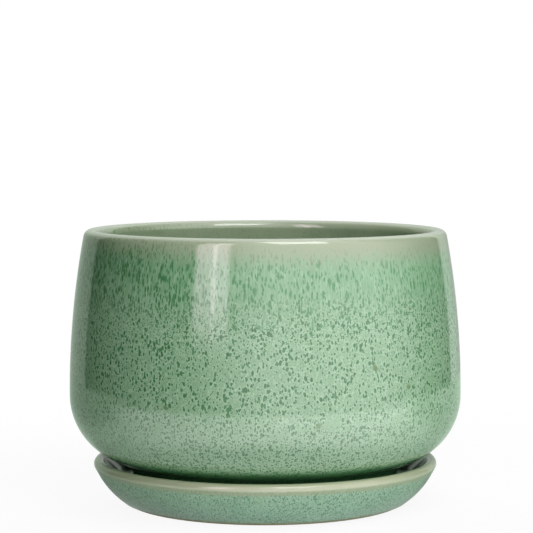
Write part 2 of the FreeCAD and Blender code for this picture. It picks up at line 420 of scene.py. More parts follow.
def turned_piece(name, outline):
    """Draws the outline point by point and spins it once round the axis."""
    bpy.ops.object.select_all(action="DESELECT")
    bpy.ops.mesh.primitive_plane_add(size=MM)
    piece = bpy.context.object
    piece.name = name
    bpy.ops.object.mode_set(mode="EDIT")
    bpy.ops.mesh.select_all(action="SELECT")
    bpy.ops.mesh.merge(type="CENTER")
    bpy.ops.transform.translate(value=(outline[0][0], 0, outline[0][1]))
    for here, there in zip(outline, outline[1:]):
        move = (there[0] - here[0], 0, there[1] - here[1])
        bpy.ops.mesh.extrude_vertices_move(TRANSFORM_OT_translate={"value": move})
    bpy.ops.mesh.select_all(action="SELECT")
    bpy.ops.mesh.remove_doubles(threshold=SAME_POINT)
    bpy.ops.mesh.spin(steps=TURN_STEPS, angle=math.tau, center=(0, 0, 0), axis=(0, 0, 1))
    bpy.ops.mesh.select_all(action="SELECT")
    bpy.ops.mesh.remove_doubles(threshold=SAME_POINT)
    bpy.ops.mesh.normals_make_consistent(inside=False)
    bpy.ops.object.mode_set(mode="OBJECT")
    print(name, "vertices:", len(piece.data.vertices))
    return piece


print("faces round the axis:", TURN_STEPS)

# %% [markdown]
# ## The pot
# The wall is the same thickness all the way from the drain hole round the belly to the round lip.
# The glaze is a real skin of glass, so its edge is a small step in the outline.
# It stops on the foot, a little above the ground, and below it the clay is bare.

# %% Sizes of the pot
POT_WALL = 8.0 * MM
BELLY_CURVE = 35.8 * MM
MOUTH_INSET = 7.6 * MM
FOOT_OUTSET = 2.8 * MM
FOOT_WIDTH = 9.0 * MM
FOOT_FILLET = 3.0 * MM
FOOT_ROUND = 1.2 * MM
DRAIN_RADIUS = 9.0 * MM
DRAIN_ROUND = 1.2 * MM
GLAZE = 0.35 * MM            # thickness of the glaze where it stops
GLAZE_STOP = 2.2 * MM        # height above the ground at which it stops

belly_radius = (pot_high[0] - pot_low[0]) / 2
seat_z = pot_low[2]
rim_z = pot_high[2]
pot_floor_z = screen_low[2]
underside_z = pot_floor_z - POT_WALL
belly_z = underside_z + BELLY_CURVE
underside_radius = belly_radius - BELLY_CURVE
foot_radius = underside_radius + FOOT_OUTSET
foot_inner = foot_radius - FOOT_WIDTH
lip_z = rim_z - POT_WALL / 2
lip_radius = belly_radius - POT_WALL / 2 - MOUTH_INSET
print(f"belly {belly_radius:.4f} at {belly_z:.4f}, rim {rim_z:.4f}, foot {foot_radius:.4f}")


# %% Turn the pot
def pot_outline():
    belly_centre = (underside_radius, belly_z)
    rise = lip_z - belly_z
    upper = (MOUTH_INSET ** 2 + rise ** 2) / (2 * MOUTH_INSET)
    upper_centre = (belly_radius - POT_WALL / 2 - upper, belly_z)
    lip_angle = math.degrees(math.asin(rise / upper))
    fillet_out = FOOT_OUTSET + FOOT_FILLET
    fillet_down = math.sqrt((BELLY_CURVE + FOOT_FILLET) ** 2 - fillet_out ** 2)
    fillet_centre = (underside_radius + fillet_out, belly_z - fillet_down)
    fillet_angle = math.degrees(math.atan2(-fillet_down, fillet_out))
    bare_foot = foot_radius - GLAZE
    drain_low = (DRAIN_RADIUS, underside_z)
    drain_high = (DRAIN_RADIUS, pot_floor_z)
    outline = straight((DRAIN_RADIUS + DRAIN_ROUND, pot_floor_z), (underside_radius, pot_floor_z))
    outline += arc(belly_centre, BELLY_CURVE - POT_WALL, -90, 0)[1:]
    outline += arc(upper_centre, upper - POT_WALL / 2, 0, lip_angle)[1:]
    outline += arc((lip_radius, lip_z), POT_WALL / 2, lip_angle + 180, lip_angle)[1:]
    outline += arc(upper_centre, upper + POT_WALL / 2, lip_angle, 0)[1:]
    outline += arc(belly_centre, BELLY_CURVE, 0, fillet_angle)[1:]
    outline += arc(fillet_centre, FOOT_FILLET, fillet_angle + 180, 180)[1:]
    outline += [(foot_radius, seat_z + GLAZE_STOP), (bare_foot, seat_z + GLAZE_STOP - GLAZE)]
    outline += rounded((bare_foot, belly_z), (bare_foot, seat_z), (foot_inner, seat_z), FOOT_ROUND)
    outline += rounded((bare_foot, seat_z), (foot_inner, seat_z), (foot_inner, belly_z), FOOT_ROUND)
    outline += rounded((foot_inner, seat_z), (foot_inner, underside_z), (0, underside_z), FOOT_FILLET)
    outline += rounded((foot_inner, underside_z), drain_low, (DRAIN_RADIUS, belly_z), DRAIN_ROUND)
    outline += rounded((DRAIN_RADIUS, seat_z), drain_high, (belly_radius, pot_floor_z), DRAIN_ROUND)
    return outline


pot = turned_piece("turned_pot", pot_outline())

# %% [markdown]
# ## Finishing the foot
# Three shallow arches run through the foot ring, so that water can leave from under the pot.
# A potter cuts them with a loop of wire. Here round bars cut them, which gives the same clean arch,
# and the cut edges are softened a little.

# %% Helpers that cut and soften
SHARP_ANGLE = math.radians(38)


def apply_modifiers(piece):
    """Applies every modifier of the piece, from the first to the last."""
    bpy.ops.object.select_all(action="DESELECT")
    piece.select_set(True)
    bpy.context.view_layer.objects.active = piece
    for modifier in list(piece.modifiers):
        bpy.ops.object.modifier_apply(modifier=modifier.name)


def cut_with(piece, tool, operation="DIFFERENCE"):
    """Cuts the piece with another mesh, and deletes that mesh."""
    cut = piece.modifiers.new("cut", "BOOLEAN")
    cut.operation = operation
    cut.object = tool
    apply_modifiers(piece)
    bpy.data.objects.remove(tool)


def soften_edges(piece, width, segments=2):
    """Rounds every sharp edge, and shades the rest smooth."""
    bevel = piece.modifiers.new("soft_edges", "BEVEL")
    bevel.width = width
    bevel.segments = segments
    bevel.angle_limit = SHARP_ANGLE
    apply_modifiers(piece)
    bpy.ops.object.shade_smooth_by_angle(angle=SHARP_ANGLE)
    print(piece.name, "faces with soft edges:", len(piece.data.polygons))


print("edges sharper than", round(math.degrees(SHARP_ANGLE)), "degrees are rounded")

# %% Cut the arches in the foot
ARCH_COUNT = 3
ARCH_WIDTH = 14.0 * MM
ARCH_HEIGHT = 3.5 * MM
ARCH_BAR_SIDES = 96
CUT_EDGE_ROUND = 0.5 * MM


def cut_arches(piece):
    arch_radius = (ARCH_WIDTH ** 2 / 4 + ARCH_HEIGHT ** 2) / (2 * ARCH_HEIGHT)
    bar_z = seat_z + ARCH_HEIGHT - arch_radius
    for number in range(ARCH_COUNT):
        turn = math.tau * number / ARCH_COUNT
        middle = (math.cos(turn) * belly_radius / 2, math.sin(turn) * belly_radius / 2, bar_z)
        bpy.ops.object.select_all(action="DESELECT")
        bpy.ops.mesh.primitive_cylinder_add(
            vertices=ARCH_BAR_SIDES, radius=arch_radius, depth=belly_radius,
            location=middle, rotation=(0, math.pi / 2, turn))
        cut_with(piece, bpy.context.object)


cut_arches(pot)
soften_edges(pot, CUT_EDGE_ROUND)

# %% [markdown]
# ## Marking inside and bare clay
# One glaze covers the pot, but it looks different inside, and it leaves the foot and the underside bare.
# A second material with its own faces would give a hard edge along the lip.
# So the mesh carries it: each point gets two numbers, which the material reads as attributes.
# A point whose normal leans towards the axis or upwards is inside.
# That number slides from 0 to 1 across the lip.

# %% Write the two marks into the mesh
BARE_MARGIN = 1.5 * GLAZE    # how far inside the foot's glazed skin a point has to be to count as bare
LIP_MIDDLE = 0.5             # the mark of a point whose normal leans outwards as much as upwards


def write_marks(piece, is_bare):
    """Stores for each point how bare and how far inside it is, from 0 to 1."""
    marks = {"bare_clay": [], "inside": []}
    for vertex in piece.data.vertices:
        radius = math.hypot(vertex.co.x, vertex.co.y)
        outward = (vertex.normal.x * vertex.co.x + vertex.normal.y * vertex.co.y) / max(radius, SAME_POINT)
        marks["bare_clay"].append(float(is_bare(radius, vertex.co.z)))
        marks["inside"].append(min(1.0, max(0.0, LIP_MIDDLE - outward + vertex.normal.z)))
    for name, values in marks.items():
        piece.data.attributes.new(name, "FLOAT", "POINT").data.foreach_set("value", values)
    print(piece.name, "bare share of points:", round(sum(marks["bare_clay"]) / len(piece.data.vertices), 3))


def pot_is_bare(radius, z):
    inside_foot = radius < foot_radius - BARE_MARGIN and z < underside_z + GLAZE
    below_glaze = z < seat_z + GLAZE_STOP - GLAZE / 2
    in_drain = radius < DRAIN_RADIUS + DRAIN_ROUND / 2 and z < pot_floor_z - DRAIN_ROUND / 2
    return inside_foot or below_glaze or in_drain


write_marks(pot, pot_is_bare)

# %% [markdown]
# ## The saucer
# The saucer is a thick dish whose wall leans out to a round lip. Its outside bends under to a low ring foot.
# It is turned as the pot is. Here too the glaze stops just above the foot.
# In the photograph that is the thin buff line along the bottom.

# %% Sizes of the saucer
SAUCER_WALL = 5.6 * MM
SAUCER_LEAN = math.radians(29)
SAUCER_CORNER_ROUND = 10.0 * MM
SAUCER_FLAT_RADIUS = 60.0 * MM
SAUCER_BEND_HEIGHT = 6.0 * MM
SAUCER_BEND_RUN = 9.5 * MM
SAUCER_FOOT_WIDTH = 9.0 * MM
SAUCER_FOOT_ROUND = 2.0 * MM
SAUCER_RECESS_DEPTH = 1.5 * MM
SAUCER_RECESS_ROUND = 0.7 * MM
SAUCER_BARE_RUN = 2.0 * MM   # how far up the slope from the foot the clay is bare

saucer_foot_z = saucer_low[2]
saucer_floor_z = seat_z
recess_z = saucer_foot_z + SAUCER_RECESS_DEPTH
saucer_lip = Vector((saucer_high[0] - SAUCER_WALL / 2, saucer_high[2] - SAUCER_WALL / 2))
wall_side = Vector((math.cos(SAUCER_LEAN), -math.sin(SAUCER_LEAN))) * SAUCER_WALL / 2
outer_top = saucer_lip + wall_side
inner_top = saucer_lip - wall_side
bend_z = saucer_foot_z + SAUCER_BEND_HEIGHT
bend = Vector((outer_top.x - (outer_top.y - bend_z) * math.tan(SAUCER_LEAN), bend_z))
saucer_foot = Vector((bend.x - SAUCER_BEND_RUN, saucer_foot_z))
recess_radius = saucer_foot.x - SAUCER_FOOT_WIDTH
inner_corner = Vector((inner_top.x - (inner_top.y - saucer_floor_z) * math.tan(SAUCER_LEAN), saucer_floor_z))
print(f"saucer lip {saucer_high[0]:.4f} at {saucer_high[2]:.4f}, foot {saucer_foot.x:.4f}")


# %% Turn the saucer
def saucer_outline():
    slope = math.atan2(SAUCER_BEND_HEIGHT, SAUCER_BEND_RUN)
    foot_reach = SAUCER_FOOT_ROUND * math.tan(slope / 2)
    lower_run = math.hypot(SAUCER_BEND_RUN, SAUCER_BEND_HEIGHT) - foot_reach
    bend_turn = math.pi / 2 - SAUCER_LEAN - slope
    bend_round = lower_run / math.tan(bend_turn / 2)
    lean = math.degrees(SAUCER_LEAN)
    down_slope = (saucer_foot - bend).normalized()
    inward = Vector((down_slope.y, -down_slope.x)) * GLAZE
    inward = inward if inward.y > 0 else -inward
    glaze_end = saucer_foot - down_slope * (foot_reach + SAUCER_BARE_RUN)
    bare_foot = saucer_foot + Vector((-GLAZE / math.sin(slope), 0))
    skin = rounded(outer_top, bend, saucer_foot, bend_round)
    skin = [place for place in skin if place[1] > glaze_end.y]
    recess_low = (recess_radius, saucer_foot_z)
    recess_high = (recess_radius, recess_z)
    outline = [(0, saucer_floor_z)]
    outline += straight((FLAT_STEP, saucer_floor_z), (SAUCER_FLAT_RADIUS, saucer_floor_z))
    outline += rounded((0, saucer_floor_z), inner_corner, inner_top, SAUCER_CORNER_ROUND)
    outline += arc(saucer_lip, SAUCER_WALL / 2, 180 - lean, -lean)
    outline += skin + [tuple(glaze_end), tuple(glaze_end + down_slope * GLAZE / 2 + inward)]
    outline += rounded(bend + inward, bare_foot, (0, saucer_foot_z), SAUCER_FOOT_ROUND)
    outline += rounded(bare_foot, recess_low, recess_high, SAUCER_RECESS_ROUND)
    outline += rounded(recess_low, recess_high, (0, recess_z), SAUCER_RECESS_ROUND)
    outline += straight((recess_radius - FLAT_STEP, recess_z), (FLAT_STEP, recess_z)) + [(0, recess_z)]
    return outline


def saucer_is_bare(radius, z):
    glaze_end_z = saucer_foot_z + (SAUCER_BARE_RUN + GLAZE) * SAUCER_BEND_HEIGHT / SAUCER_BEND_RUN
    return z < glaze_end_z or (radius < saucer_foot.x and z < recess_z + GLAZE)


saucer = turned_piece("turned_saucer", saucer_outline())
bpy.ops.object.shade_smooth_by_angle(angle=SHARP_ANGLE)
write_marks(saucer, saucer_is_bare)

# %% [markdown]
# ## The drain screen
# A loose disc of plastic net lies over the drain hole inside, with square gaps in a plain border.
# A grid is the quick way to it: every cell is inset by half a strand, the middles are deleted as gaps,
# the sheet gets its thickness, and a round bar cuts it to a disc. Rounded edges make it look moulded.

# %% Make the screen
SCREEN_GAP = 2.2 * MM
SCREEN_STRAND = 1.2 * MM
SCREEN_BORDER = 1.6 * MM
SCREEN_SIDES = 128
STRAND_ROUND = 0.3 * MM

screen_radius = (screen_high[0] - screen_low[0]) / 2
screen_thickness = screen_high[2] - screen_low[2]


def build_screen():
    pitch = SCREEN_GAP + SCREEN_STRAND
    cells = 2 * math.ceil(screen_radius / pitch) + 1
    middle = (0, 0, (screen_low[2] + screen_high[2]) / 2)
    bpy.ops.object.select_all(action="DESELECT")
    bpy.ops.mesh.primitive_grid_add(
        x_subdivisions=cells, y_subdivisions=cells, size=cells * pitch, location=middle)
    screen = bpy.context.object
    screen.name = "moulded_screen"
    bpy.ops.object.transform_apply(location=True)
    bpy.ops.object.mode_set(mode="EDIT")
    bpy.ops.mesh.select_mode(type="FACE")
    bpy.ops.mesh.select_all(action="SELECT")
    bpy.ops.mesh.inset(thickness=SCREEN_STRAND / 2, use_individual=True)
    bpy.ops.object.mode_set(mode="OBJECT")
    gaps = 0
    for face in screen.data.polygons:
        reach = max(screen.data.vertices[i].co.xy.length for i in face.vertices)
        face.select = face.select and reach <= screen_radius - SCREEN_BORDER
        gaps += face.select
    bpy.ops.object.mode_set(mode="EDIT")
    bpy.ops.mesh.delete(type="FACE")
    bpy.ops.object.mode_set(mode="OBJECT")
    thicken = screen.modifiers.new("thickness", "SOLIDIFY")
    thicken.thickness = screen_thickness
    thicken.offset = 0
    apply_modifiers(screen)
    bpy.ops.object.select_all(action="DESELECT")
    bpy.ops.mesh.primitive_cylinder_add(
        vertices=SCREEN_SIDES, radius=screen_radius, depth=pitch, location=middle)
    cut_with(screen, bpy.context.object, "INTERSECT")
    soften_edges(screen, STRAND_ROUND)
    print("screen gaps:", gaps)
    return screen


screen = build_screen()

# %% [markdown]
# ## The pads
# Four rubber pads are stuck in the recess under the saucer, so that it doesn't scratch what it stands on.
# Each is a moulded disc with a rounded lower edge and a shallow dish in its face, which makes it grip.
# One is shaped and then copied. Each copy has its own mesh, so that its place can lie in the mesh.

# %% Shape the first pad
PAD_SIDES = 64
PAD_EDGE_ROUND = 0.5 * MM
PAD_EDGE_SEGMENTS = 4
PAD_RIM = 2.2 * MM
PAD_DISH = 0.35 * MM
PAD_DISH_SLOPE = 2 * PAD_DISH
FACES_DOWN = -0.99           # a face with a lower normal than this is flat and looks down

pad_nodes = sorted(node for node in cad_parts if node.startswith("saucer_pad"))


def box_middle(node):
    low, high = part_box(node)
    return (Vector(low) + Vector(high)) / 2


def select_pad_face(pad):
    """Selects the large flat face that the pad stands on."""
    for face in pad.data.polygons:
        face.select = face.normal.z < FACES_DOWN and len(face.vertices) > 4


def build_pad(node):
    low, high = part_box(node)
    bpy.ops.object.select_all(action="DESELECT")
    bpy.ops.mesh.primitive_cylinder_add(
        vertices=PAD_SIDES, radius=(high[0] - low[0]) / 2, depth=high[2] - low[2],
        location=box_middle(node), end_fill_type="NGON")
    pad = bpy.context.object
    pad.name = node + "_moulded"
    bpy.ops.object.transform_apply(location=True)
    bpy.ops.object.mode_set(mode="EDIT")
    bpy.ops.mesh.select_mode(type="FACE")
    bpy.ops.mesh.select_all(action="DESELECT")
    bpy.ops.object.mode_set(mode="OBJECT")
    select_pad_face(pad)
    bpy.ops.object.mode_set(mode="EDIT")
    bpy.ops.mesh.bevel(offset=PAD_EDGE_ROUND, segments=PAD_EDGE_SEGMENTS)
    bpy.ops.object.mode_set(mode="OBJECT")
    select_pad_face(pad)
    bpy.ops.object.mode_set(mode="EDIT")
    bpy.ops.mesh.inset(thickness=PAD_RIM)
    bpy.ops.mesh.inset(thickness=PAD_DISH_SLOPE)
    bpy.ops.transform.translate(value=(0, 0, PAD_DISH))
    bpy.ops.object.mode_set(mode="OBJECT")
    bpy.ops.object.shade_smooth_by_angle(angle=SHARP_ANGLE)
    return pad


pads = {pad_nodes[0]: build_pad(pad_nodes[0])}
print("pad faces:", len(pads[pad_nodes[0]].data.polygons))


# %% Copy it to the other places
def copied_pad(first_node, node):
    """A copy of the first pad with its own mesh, moved to another pad's place."""
    pad = pads[first_node].copy()
    pad.data = pads[first_node].data.copy()
    pad.name = node + "_moulded"
    pad.data.transform(Matrix.Translation(box_middle(node) - box_middle(first_node)))
    bpy.context.scene.collection.objects.link(pad)
    return pad


for node in pad_nodes[1:]:
    pads[node] = copied_pad(pad_nodes[0], node)
print("pads:", [pad.name for pad in pads.values()])

# %% [markdown]
# ## Shared effects: speckles and bare clay
# The marks in the glaze are small ovals of a darker green, each with a paler ring round it, in loose crowds.
# A Voronoi texture scatters points, and the distance to the nearest one, cut off at a radius, draws a spot.
# Noise shifts the places, which frays the spots, and a slower noise makes some crowds larger.
# Both the pot and the saucer use it, so it is a node group, and each material gives it its own sizes.

# %% Speckle group
GRAIN_FINENESS = 1.4                 # the fraying noise, against the spots
CROWD_FINENESS = 0.22                # the noise that gathers spots into crowds, against the spots
CROWD_EDGE = (0.28, 0.62)
CROWD_LEAST = 0.75                   # size of a spot outside the crowds
CROWD_MORE = 0.3                     # and how much is added inside them
SPOT_LEAST = 0.5                     # size of the smallest spot
SPOT_MORE = 0.8                      # and how much is added for the largest
RING_REACH = 1.7                     # radius of the pale ring, against the spot's


def new_group(name, inputs, outputs):
    """An empty node group with its sockets. Returns the group, its inputs and its output node."""
    group = bpy.data.node_groups.new(name, "ShaderNodeTree")
    for direction, sockets in (("INPUT", inputs), ("OUTPUT", outputs)):
        for socket, kind in sockets.items():
            group.interface.new_socket(name=socket, in_out=direction, socket_type="NodeSocket" + kind)
    return group, group.nodes.new("NodeGroupInput").outputs, group.nodes.new("NodeGroupOutput")


def build_speckles():
    """Spots about Spacing mm apart. Size is the radius as a share of that, and Ragged how uneven they are."""
    inputs = {"Position": "Vector", "Spacing": "Float", "Size": "Float", "Ragged": "Float", "Soft": "Float"}
    outputs = {"Spots": "Float", "Rings": "Float", "Tone": "Float"}
    tree, given, result = new_group("speckles", inputs, outputs)
    position = given["Position"]
    scale = sum_of(tree, "DIVIDE", 1.0, given["Spacing"])
    grain_scale = product_of(tree, scale, GRAIN_FINENESS)
    grain = add_node(tree, "ShaderNodeTexNoise", {"Vector": position, "Scale": grain_scale, "Detail": 2.0})
    shift = vector_sum(tree, "SUBTRACT", {0: grain.outputs["Color"], 1: (0.5, 0.5, 0.5)})
    amount = product_of(tree, given["Ragged"], given["Spacing"])
    shift = vector_sum(tree, "SCALE", {0: shift, "Scale": amount})
    place = vector_sum(tree, "ADD", {0: position, 1: shift})
    cells = add_node(tree, "ShaderNodeTexVoronoi", {"Vector": place, "Scale": scale})
    chance = add_node(tree, "ShaderNodeSeparateColor", {0: cells.outputs["Color"]})
    crowd_scale = product_of(tree, scale, CROWD_FINENESS)
    crowd = add_node(tree, "ShaderNodeTexNoise", {"Vector": position, "Scale": crowd_scale, "Detail": 1.0})
    crowd = soft_step(tree, crowd.outputs["Fac"], *CROWD_EDGE)
    crowd = sum_of(tree, "MULTIPLY_ADD", crowd, CROWD_MORE, CROWD_LEAST)
    radius = sum_of(tree, "MULTIPLY_ADD", chance.outputs["Red"], SPOT_MORE, SPOT_LEAST)
    radius = product_of(tree, product_of(tree, radius, crowd), given["Size"])
    edge = product_of(tree, radius, given["Soft"])
    outer = sum_of(tree, "ADD", radius, edge)
    inner = sum_of(tree, "SUBTRACT", radius, edge)
    frayed = product_of(tree, sum_of(tree, "SUBTRACT", grain.outputs["Fac"], 0.5), given["Ragged"])
    distance = sum_of(tree, "ADD", cells.outputs["Distance"], frayed)
    spots = soft_step(tree, distance, outer, inner)
    rings = soft_step(tree, distance, product_of(tree, outer, RING_REACH), outer)
    rings = product_of(tree, rings, sum_of(tree, "SUBTRACT", 1.0, spots))
    for socket, value in (("Spots", spots), ("Rings", rings), ("Tone", chance.outputs["Green"])):
        tree.links.new(value, result.inputs[socket])
    return tree


def use_speckles(tree, position, spacing, size, ragged, soft):
    """The outputs of a speckle group with these values. Lengths are in mm."""
    inputs = {"Position": position, "Spacing": spacing, "Size": size, "Ragged": ragged, "Soft": soft}
    return add_node(tree, "ShaderNodeGroup", inputs, node_tree=speckles).outputs


speckles = build_speckles()
print("speckle nodes:", len(speckles.nodes))

# %% [markdown]
# ## Bare clay
# Where the glaze stops, the fired clay shows: buff and matt, with cloudy patches, a sandy grain and specks.
# The pot and the saucer are of the same clay, so it is a group too.

# %% Bare clay group
CLAY_SHADE = screen_colour(224, 194, 150)
CLAY_DARK_SHADE = screen_colour(178, 152, 114)
CLAY_SPECK_SHADE = screen_colour(104, 82, 60)
CLAY_CLOUD_SCALE = 0.09
CLAY_CLOUD_STRENGTH = 1.1
CLAY_CLOUD_START = -0.35
CLAY_SAND_SCALE = 1.6
CLAY_SAND_STRENGTH = 0.5
CLAY_SPECK_STRENGTH = 0.7


def noise(tree, position, scale, detail=2.0):
    inputs = {"Vector": position, "Scale": scale, "Detail": detail}
    return add_node(tree, "ShaderNodeTexNoise", inputs).outputs["Fac"]


def build_bare_clay():
    """The colour and the fine grain of fired buff clay. Position is in mm."""
    outputs = {"Colour": "Color", "Grain": "Float"}
    tree, given, result = new_group("bare_clay", {"Position": "Vector"}, outputs)
    position = given["Position"]
    cloud = noise(tree, position, CLAY_CLOUD_SCALE, detail=4.0)
    sand = noise(tree, position, CLAY_SAND_SCALE, detail=4.0)
    specks = use_speckles(tree, position, spacing=4.0, size=0.14, ragged=0.3, soft=0.3)["Spots"]
    mottle = sum_of(tree, "MULTIPLY_ADD", cloud, CLAY_CLOUD_STRENGTH, CLAY_CLOUD_START)
    mottle = sum_of(tree, "MULTIPLY_ADD", sand, CLAY_SAND_STRENGTH, mottle)
    colour = blend_colours(tree, mottle, CLAY_SHADE, CLAY_DARK_SHADE)
    colour = blend_colours(tree, product_of(tree, specks, CLAY_SPECK_STRENGTH), colour, CLAY_SPECK_SHADE)
    tree.links.new(colour, result.inputs["Colour"])
    tree.links.new(sand, result.inputs["Grain"])
    return tree


bare_clay = build_bare_clay()
print("groups:", [group.name for group in bpy.data.node_groups])

# %% [markdown]
# ## A glaze over clay
# Both glazed pieces need the same last step: the glaze's colour and gloss where the mesh is covered,
# and the clay's colour, dullness and grain where it is marked bare.
# One shader with a mask gives a softer edge than two materials on one mesh.

# %% Helpers for materials
CLAY_ROUGHNESS = 0.85
CLAY_BUMP_STRENGTH = 0.25
CLAY_BUMP_DEPTH = 0.3 * MM
GLAZE_IOR = 1.6
INSIDE_EDGE = (0.3, 0.9)             # from outside to inside, in the mark that the mesh carries


def new_material(name):
    """A material with one Principled shader. Returns the material, its tree and that shader."""
    material = bpy.data.materials.new(name)
    material.use_nodes = True
    tree = material.node_tree
    return material, tree, tree.nodes["Principled BSDF"]


def position_in_mm(tree):
    place = add_node(tree, "ShaderNodeTexCoord").outputs["Object"]
    return vector_sum(tree, "SCALE", {0: place, "Scale": 1 / MM})


def stretched(tree, position, factors):
    """The position with each axis multiplied by its factor, before a pattern is laid on it."""
    return vector_sum(tree, "MULTIPLY", {0: position, 1: factors})


def mark(tree, name):
    return add_node(tree, "ShaderNodeAttribute", attribute_name=name).outputs["Fac"]


def glaze_over_clay(tree, shader, position, glaze_colour, roughness):
    """Glaze where the mesh isn't marked bare, and clay where it is."""
    clay = add_node(tree, "ShaderNodeGroup", {"Position": position}, node_tree=bare_clay).outputs
    bare = mark(tree, "bare_clay")
    colour = blend_colours(tree, bare, glaze_colour, clay["Colour"])
    gloss = blend_values(tree, bare, roughness, CLAY_ROUGHNESS)
    grain = product_of(tree, bare, clay["Grain"])
    bump_inputs = {"Height": grain, "Strength": CLAY_BUMP_STRENGTH, "Distance": CLAY_BUMP_DEPTH}
    bump = add_node(tree, "ShaderNodeBump", bump_inputs).outputs["Normal"]
    for socket, value in (("Base Color", colour), ("Roughness", gloss), ("Normal", bump)):
        tree.links.new(value, shader.inputs[socket])
    shader.inputs["IOR"].default_value = GLAZE_IOR


print("the glaze bends light by an index of", GLAZE_IOR)

# %% [markdown]
# ## The pot's glaze
# The glaze was poured from the rim and ran down. On the upper wall its marks are drawn out into upright
# streaks and longer runs, with fine pale hairs between them, and lower down they settle into round spots.
# At the rim it is thin, in a pale band that hangs lowest in the middle and on the right.
# At the bottom of the belly, just above the saucer, it is painted dark as the shade of the gap.
# Heights place all of this, so they are worked out first, as shares of the pot's own height.

# %% Heights and sides that the pot's glaze follows
RIM_SAG = 0.00022                    # how much the pale band rises towards the sides, per mm squared aside
RIM_TILT = 0.029                     # and how much it falls towards the right, per mm
LEFT_SIDE = (-10.0, -70.0)           # mm across over which the glaze turns darker on the left
STRAND_STRETCH = (1.0, 1.0, 0.08)    # squeezing the height draws a pattern out into strands
STRAND_SCALE = 1.1
CLOUD_SCALE = 0.06


def pot_layout(tree, position):
    """The values that place the marks and colours of the pot's glaze."""
    axes = add_node(tree, "ShaderNodeSeparateXYZ", {0: position}).outputs
    sag = sum_of(tree, "MULTIPLY_ADD", axes["X"], -RIM_SAG, RIM_TILT)
    level = sum_of(tree, "MULTIPLY_ADD", axes["X"], sag, axes["Z"])
    return {
        "across": axes["X"],
        "height": axes["Z"],
        "share": sum_of(tree, "DIVIDE", axes["Z"], rim_z / MM),
        "level": level,
        "level share": sum_of(tree, "DIVIDE", level, rim_z / MM),
        "left": soft_step(tree, axes["X"], *LEFT_SIDE),
        "strands": noise(tree, stretched(tree, position, STRAND_STRETCH), STRAND_SCALE, detail=3.0),
        "cloud": noise(tree, position, CLOUD_SCALE, detail=3.0),
    }


print("heights are shares of", round(rim_z / MM, 1), "mm")

# %% [markdown]
# ### Marks of the pot's glaze
# There are five kinds of mark, all made from the same speckles: fine spots, spots, streaks, runs and blots.
# Each has a strength that changes with the height. The streaks get larger towards the left.

# %% Marks of the pot's glaze
SPOT_STRETCH = (1.0, 1.0, 0.66)
STREAK_STRETCH = (1.0, 1.0, 0.30)
STREAK_SIZE = 0.36
STREAK_SIZE_SLOPE = -0.0007          # change of that size per mm to the right
STREAK_SIZE_LEFT = 0.06              # and what is added on the left
STREAK_SHIFT_LEFT = -0.03            # how much higher up the streaks reach there, as a share of the height


def pot_marks(tree, position, layout):
    """For each kind of mark its speckles and its strength."""
    tall = stretched(tree, position, STREAK_STRETCH)
    streak_size = sum_of(tree, "MULTIPLY_ADD", layout["across"], STREAK_SIZE_SLOPE, STREAK_SIZE)
    streak_size = sum_of(tree, "MULTIPLY_ADD", layout["left"], STREAK_SIZE_LEFT, streak_size)
    streak_share = sum_of(tree, "MULTIPLY_ADD", layout["left"], STREAK_SHIFT_LEFT, layout["level share"])
    speckled = {
        "fine": use_speckles(tree, position, spacing=1.15, size=0.36, ragged=0.8, soft=0.25),
        "spots": use_speckles(
            tree, stretched(tree, position, SPOT_STRETCH), spacing=1.5, size=0.41, ragged=0.8, soft=0.2),
        "streaks": use_speckles(tree, tall, spacing=1.1, size=streak_size, ragged=0.5, soft=0.25),
        "runs": use_speckles(tree, tall, spacing=2.4, size=0.27, ragged=0.5, soft=0.3),
        "blots": use_speckles(tree, position, spacing=14.0, size=0.08, ragged=0.3, soft=0.35),
    }
    strengths = {
        "fine": ramp(tree, layout["share"], [
            (0.16, 1.0), (0.36, 0.9), (0.45, 0.4), (0.60, 0.35), (0.68, 0.8), (0.74, 0.55), (0.80, 0.0)]),
        "spots": ramp(tree, layout["share"], [
            (0.16, 0.8), (0.34, 0.75), (0.44, 0.92), (0.62, 0.92), (0.70, 0.9), (0.77, 0.6), (0.82, 0.0)]),
        "streaks": ramp(tree, streak_share, [
            (0.66, 0.0), (0.74, 0.95), (0.88, 0.95), (0.93, 0.5), (0.965, 0.2), (0.98, 0.0)]),
        "runs": ramp(tree, layout["level share"], [(0.74, 0.0), (0.80, 0.7), (0.89, 0.8), (0.95, 0.0)]),
    }
    strengths["blots"] = strengths["spots"]
    return speckled, strengths


print("streaks are drawn out", round(1 / STREAK_STRETCH[2], 1), "times, spots", round(1 / SPOT_STRETCH[2], 1))

# %% [markdown]
# ### Ground of the pot's glaze
# Under the marks lies a soft green that is tinted along the strands, and that is darker high up on the left.
# Pale rings and hairs lie on it, and the painted shade at the bottom and the band at the rim cover it last.

# %% Ground of the pot's glaze
# The paler ground low on the belly is painted light, for the light that the white table throws and mirrors
# there.
GLAZE_LOW_PAINTED_LIGHT_SHADE = screen_colour(170, 204, 171)
GLAZE_SHADE = screen_colour(158, 196, 158)
GLAZE_HIGH_SHADE = screen_colour(156, 197, 160)
SPOT_SHADE = screen_colour(89, 148, 99)
RING_SHADE = screen_colour(193, 222, 194)
RIM_SHADE = screen_colour(182, 189, 163)
STRAND_EDGE = (0.45, 0.75)
CLOUD_EDGE = (0.3, 0.8)
CLOUD_STRENGTH = 0.15
HAIR_EDGE = (0.46, 0.34)             # fine pale hairs run down where the noise of the strands is low
HAIR_STRENGTH = 0.5
# The next three values paint the shade of the gap between the belly and the saucer.
GAP_PAINTED_SHADE_EDGE = (31.0, 27.2)         # heights in mm over which the painted shade of the gap above the saucer comes in
GAP_PAINTED_SHADE_STRENGTH = 0.85
GAP_PAINTED_SHADE = screen_colour(70, 138, 82)
RIM_EDGE = (128.0, 141.5)            # heights in mm over which the pale band comes in
RIM_RAGGED = 16.0                    # mm by which the strands move that edge up and down
RIM_STRENGTH = 0.9


